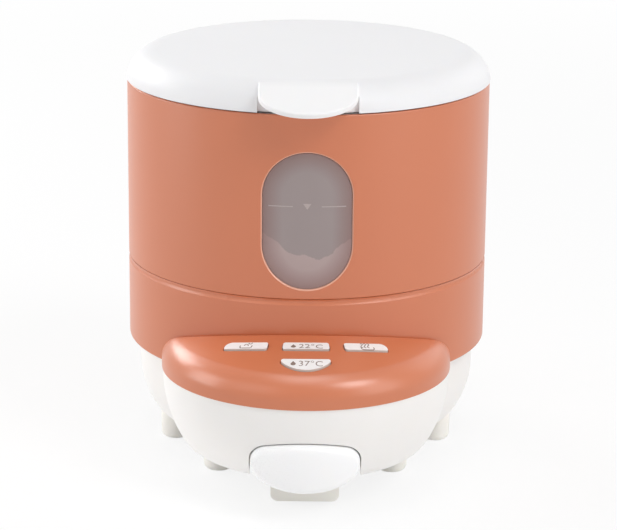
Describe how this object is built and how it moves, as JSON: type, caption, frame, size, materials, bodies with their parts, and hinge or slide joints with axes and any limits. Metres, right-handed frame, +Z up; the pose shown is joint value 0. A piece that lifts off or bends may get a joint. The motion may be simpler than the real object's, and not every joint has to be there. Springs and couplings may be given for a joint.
{
  "type": "baby formula maker",
  "caption": "Countertop baby formula maker: round tank drum with window and hinged lid, control pod with four keys in front, pull-out spout head and short feet.",
  "frame": {"origin": "bottom centre of the whole part at rest, on the floor under its middle", "axes": "+Z up; the pod, its keys and the spout head face -Y; +X is to the right seen from the front"},
  "size_m": [0.1708, 0.217, 0.1935],
  "materials": {
    "terracotta_plastic": "satin",
    "white_plastic": "satin",
    "lid_plastic": "satin",
    "foot_plastic": "matte",
    "ivory_plastic": "matte",
    "key_plastic": "gloss",
    "tank_plastic": "frosted",
    "seal_rubber": "matte",
    "hose_silicone": "satin",
    "pump_plastic": "matte",
    "heater_metal": "satin",
    "circuit_board": "satin",
    "switch_plastic": "matte",
    "inlet_plastic": "matte",
    "contact_metal": "polished",
    "screw_steel": "satin"
  },
  "bodies": {
    "base": {"base_shell": "white_plastic", "housing_ring": "terracotta_plastic", "pod_cover": "terracotta_plastic", "tank_deck": "white_plastic", "docking_seal": "seal_rubber", "water_pump": "pump_plastic", "flow_heater": "heater_metal", "hose_inlet": "hose_silicone", "hose_pump": "hose_silicone", "hose_outlet": "hose_silicone", "control_board": "circuit_board", "key_switches": "switch_plastic", "power_board": "circuit_board", "mains_inlet": "inlet_plastic", "inlet_pins": "contact_metal", "housing_screws": "screw_steel", "spout_guide": "ivory_plastic", "foot_right_side": "foot_plastic", "foot_right_front": "foot_plastic", "foot_right_rear": "foot_plastic", "foot_left_side": "foot_plastic", "foot_left_front": "foot_plastic", "foot_left_rear": "foot_plastic"},
    "drum": {"drum_sleeve": "terracotta_plastic", "water_tank": "tank_plastic", "hinge_pin": "screw_steel", "valve_spring": "contact_metal"},
    "lid": {"lid_cover": "lid_plastic", "lid_liner": "lid_plastic", "lid_gasket": "seal_rubber"},
    "valve": {"valve_poppet": "ivory_plastic", "valve_washer": "seal_rubber"},
    "spout_head": {"nose_cap": "white_plastic", "spout_carrier": "ivory_plastic", "spout_duct": "hose_silicone", "nozzle_block": "ivory_plastic"},
    "key_cool": {"button_cool": "key_plastic"},
    "key_warm": {"button_warm": "key_plastic"},
    "key_steam": {"button_steam": "key_plastic"},
    "key_mix": {"button_mix": "key_plastic"}
  },
  "joints": [
    {"name": "drum_lift", "type": "slide", "parent": "base", "child": "drum", "axis": [0, 0, 1], "range_m": [0, 0.06]},
    {"name": "lid_hinge", "type": "hinge", "parent": "drum", "child": "lid", "pos_m": [0, 0.105, 0.18], "axis": [-1, 0, 0], "range_deg": [0, 95]},
    {"name": "valve_lift", "type": "slide", "parent": "drum", "child": "valve", "axis": [0, 0, 1], "range_m": [0, 0.002], "stiffness_N_per_m": 300, "springref_m": -0.003, "deforming": ["valve_spring"]},
    {"name": "spout_pull", "type": "slide", "parent": "base", "child": "spout_head", "axis": [0, -1, 0], "range_m": [0, 0.032]},
    {"name": "press_cool", "type": "slide", "parent": "base", "child": "key_cool", "axis": [0, 0, -1], "range_m": [0, 0.001], "stiffness_N_per_m": 400, "springref_m": -0.0005},
    {"name": "press_warm", "type": "slide", "parent": "base", "child": "key_warm", "axis": [0, 0, -1], "range_m": [0, 0.001], "stiffness_N_per_m": 400, "springref_m": -0.0005},
    {"name": "press_steam", "type": "slide", "parent": "base", "child": "key_steam", "axis": [0, 0, -1], "range_m": [0, 0.001], "stiffness_N_per_m": 400, "springref_m": -0.0005},
    {"name": "press_mix", "type": "slide", "parent": "base", "child": "key_mix", "axis": [0, 0, -1], "range_m": [0, 0.001], "stiffness_N_per_m": 400, "springref_m": -0.0005}
  ]
}
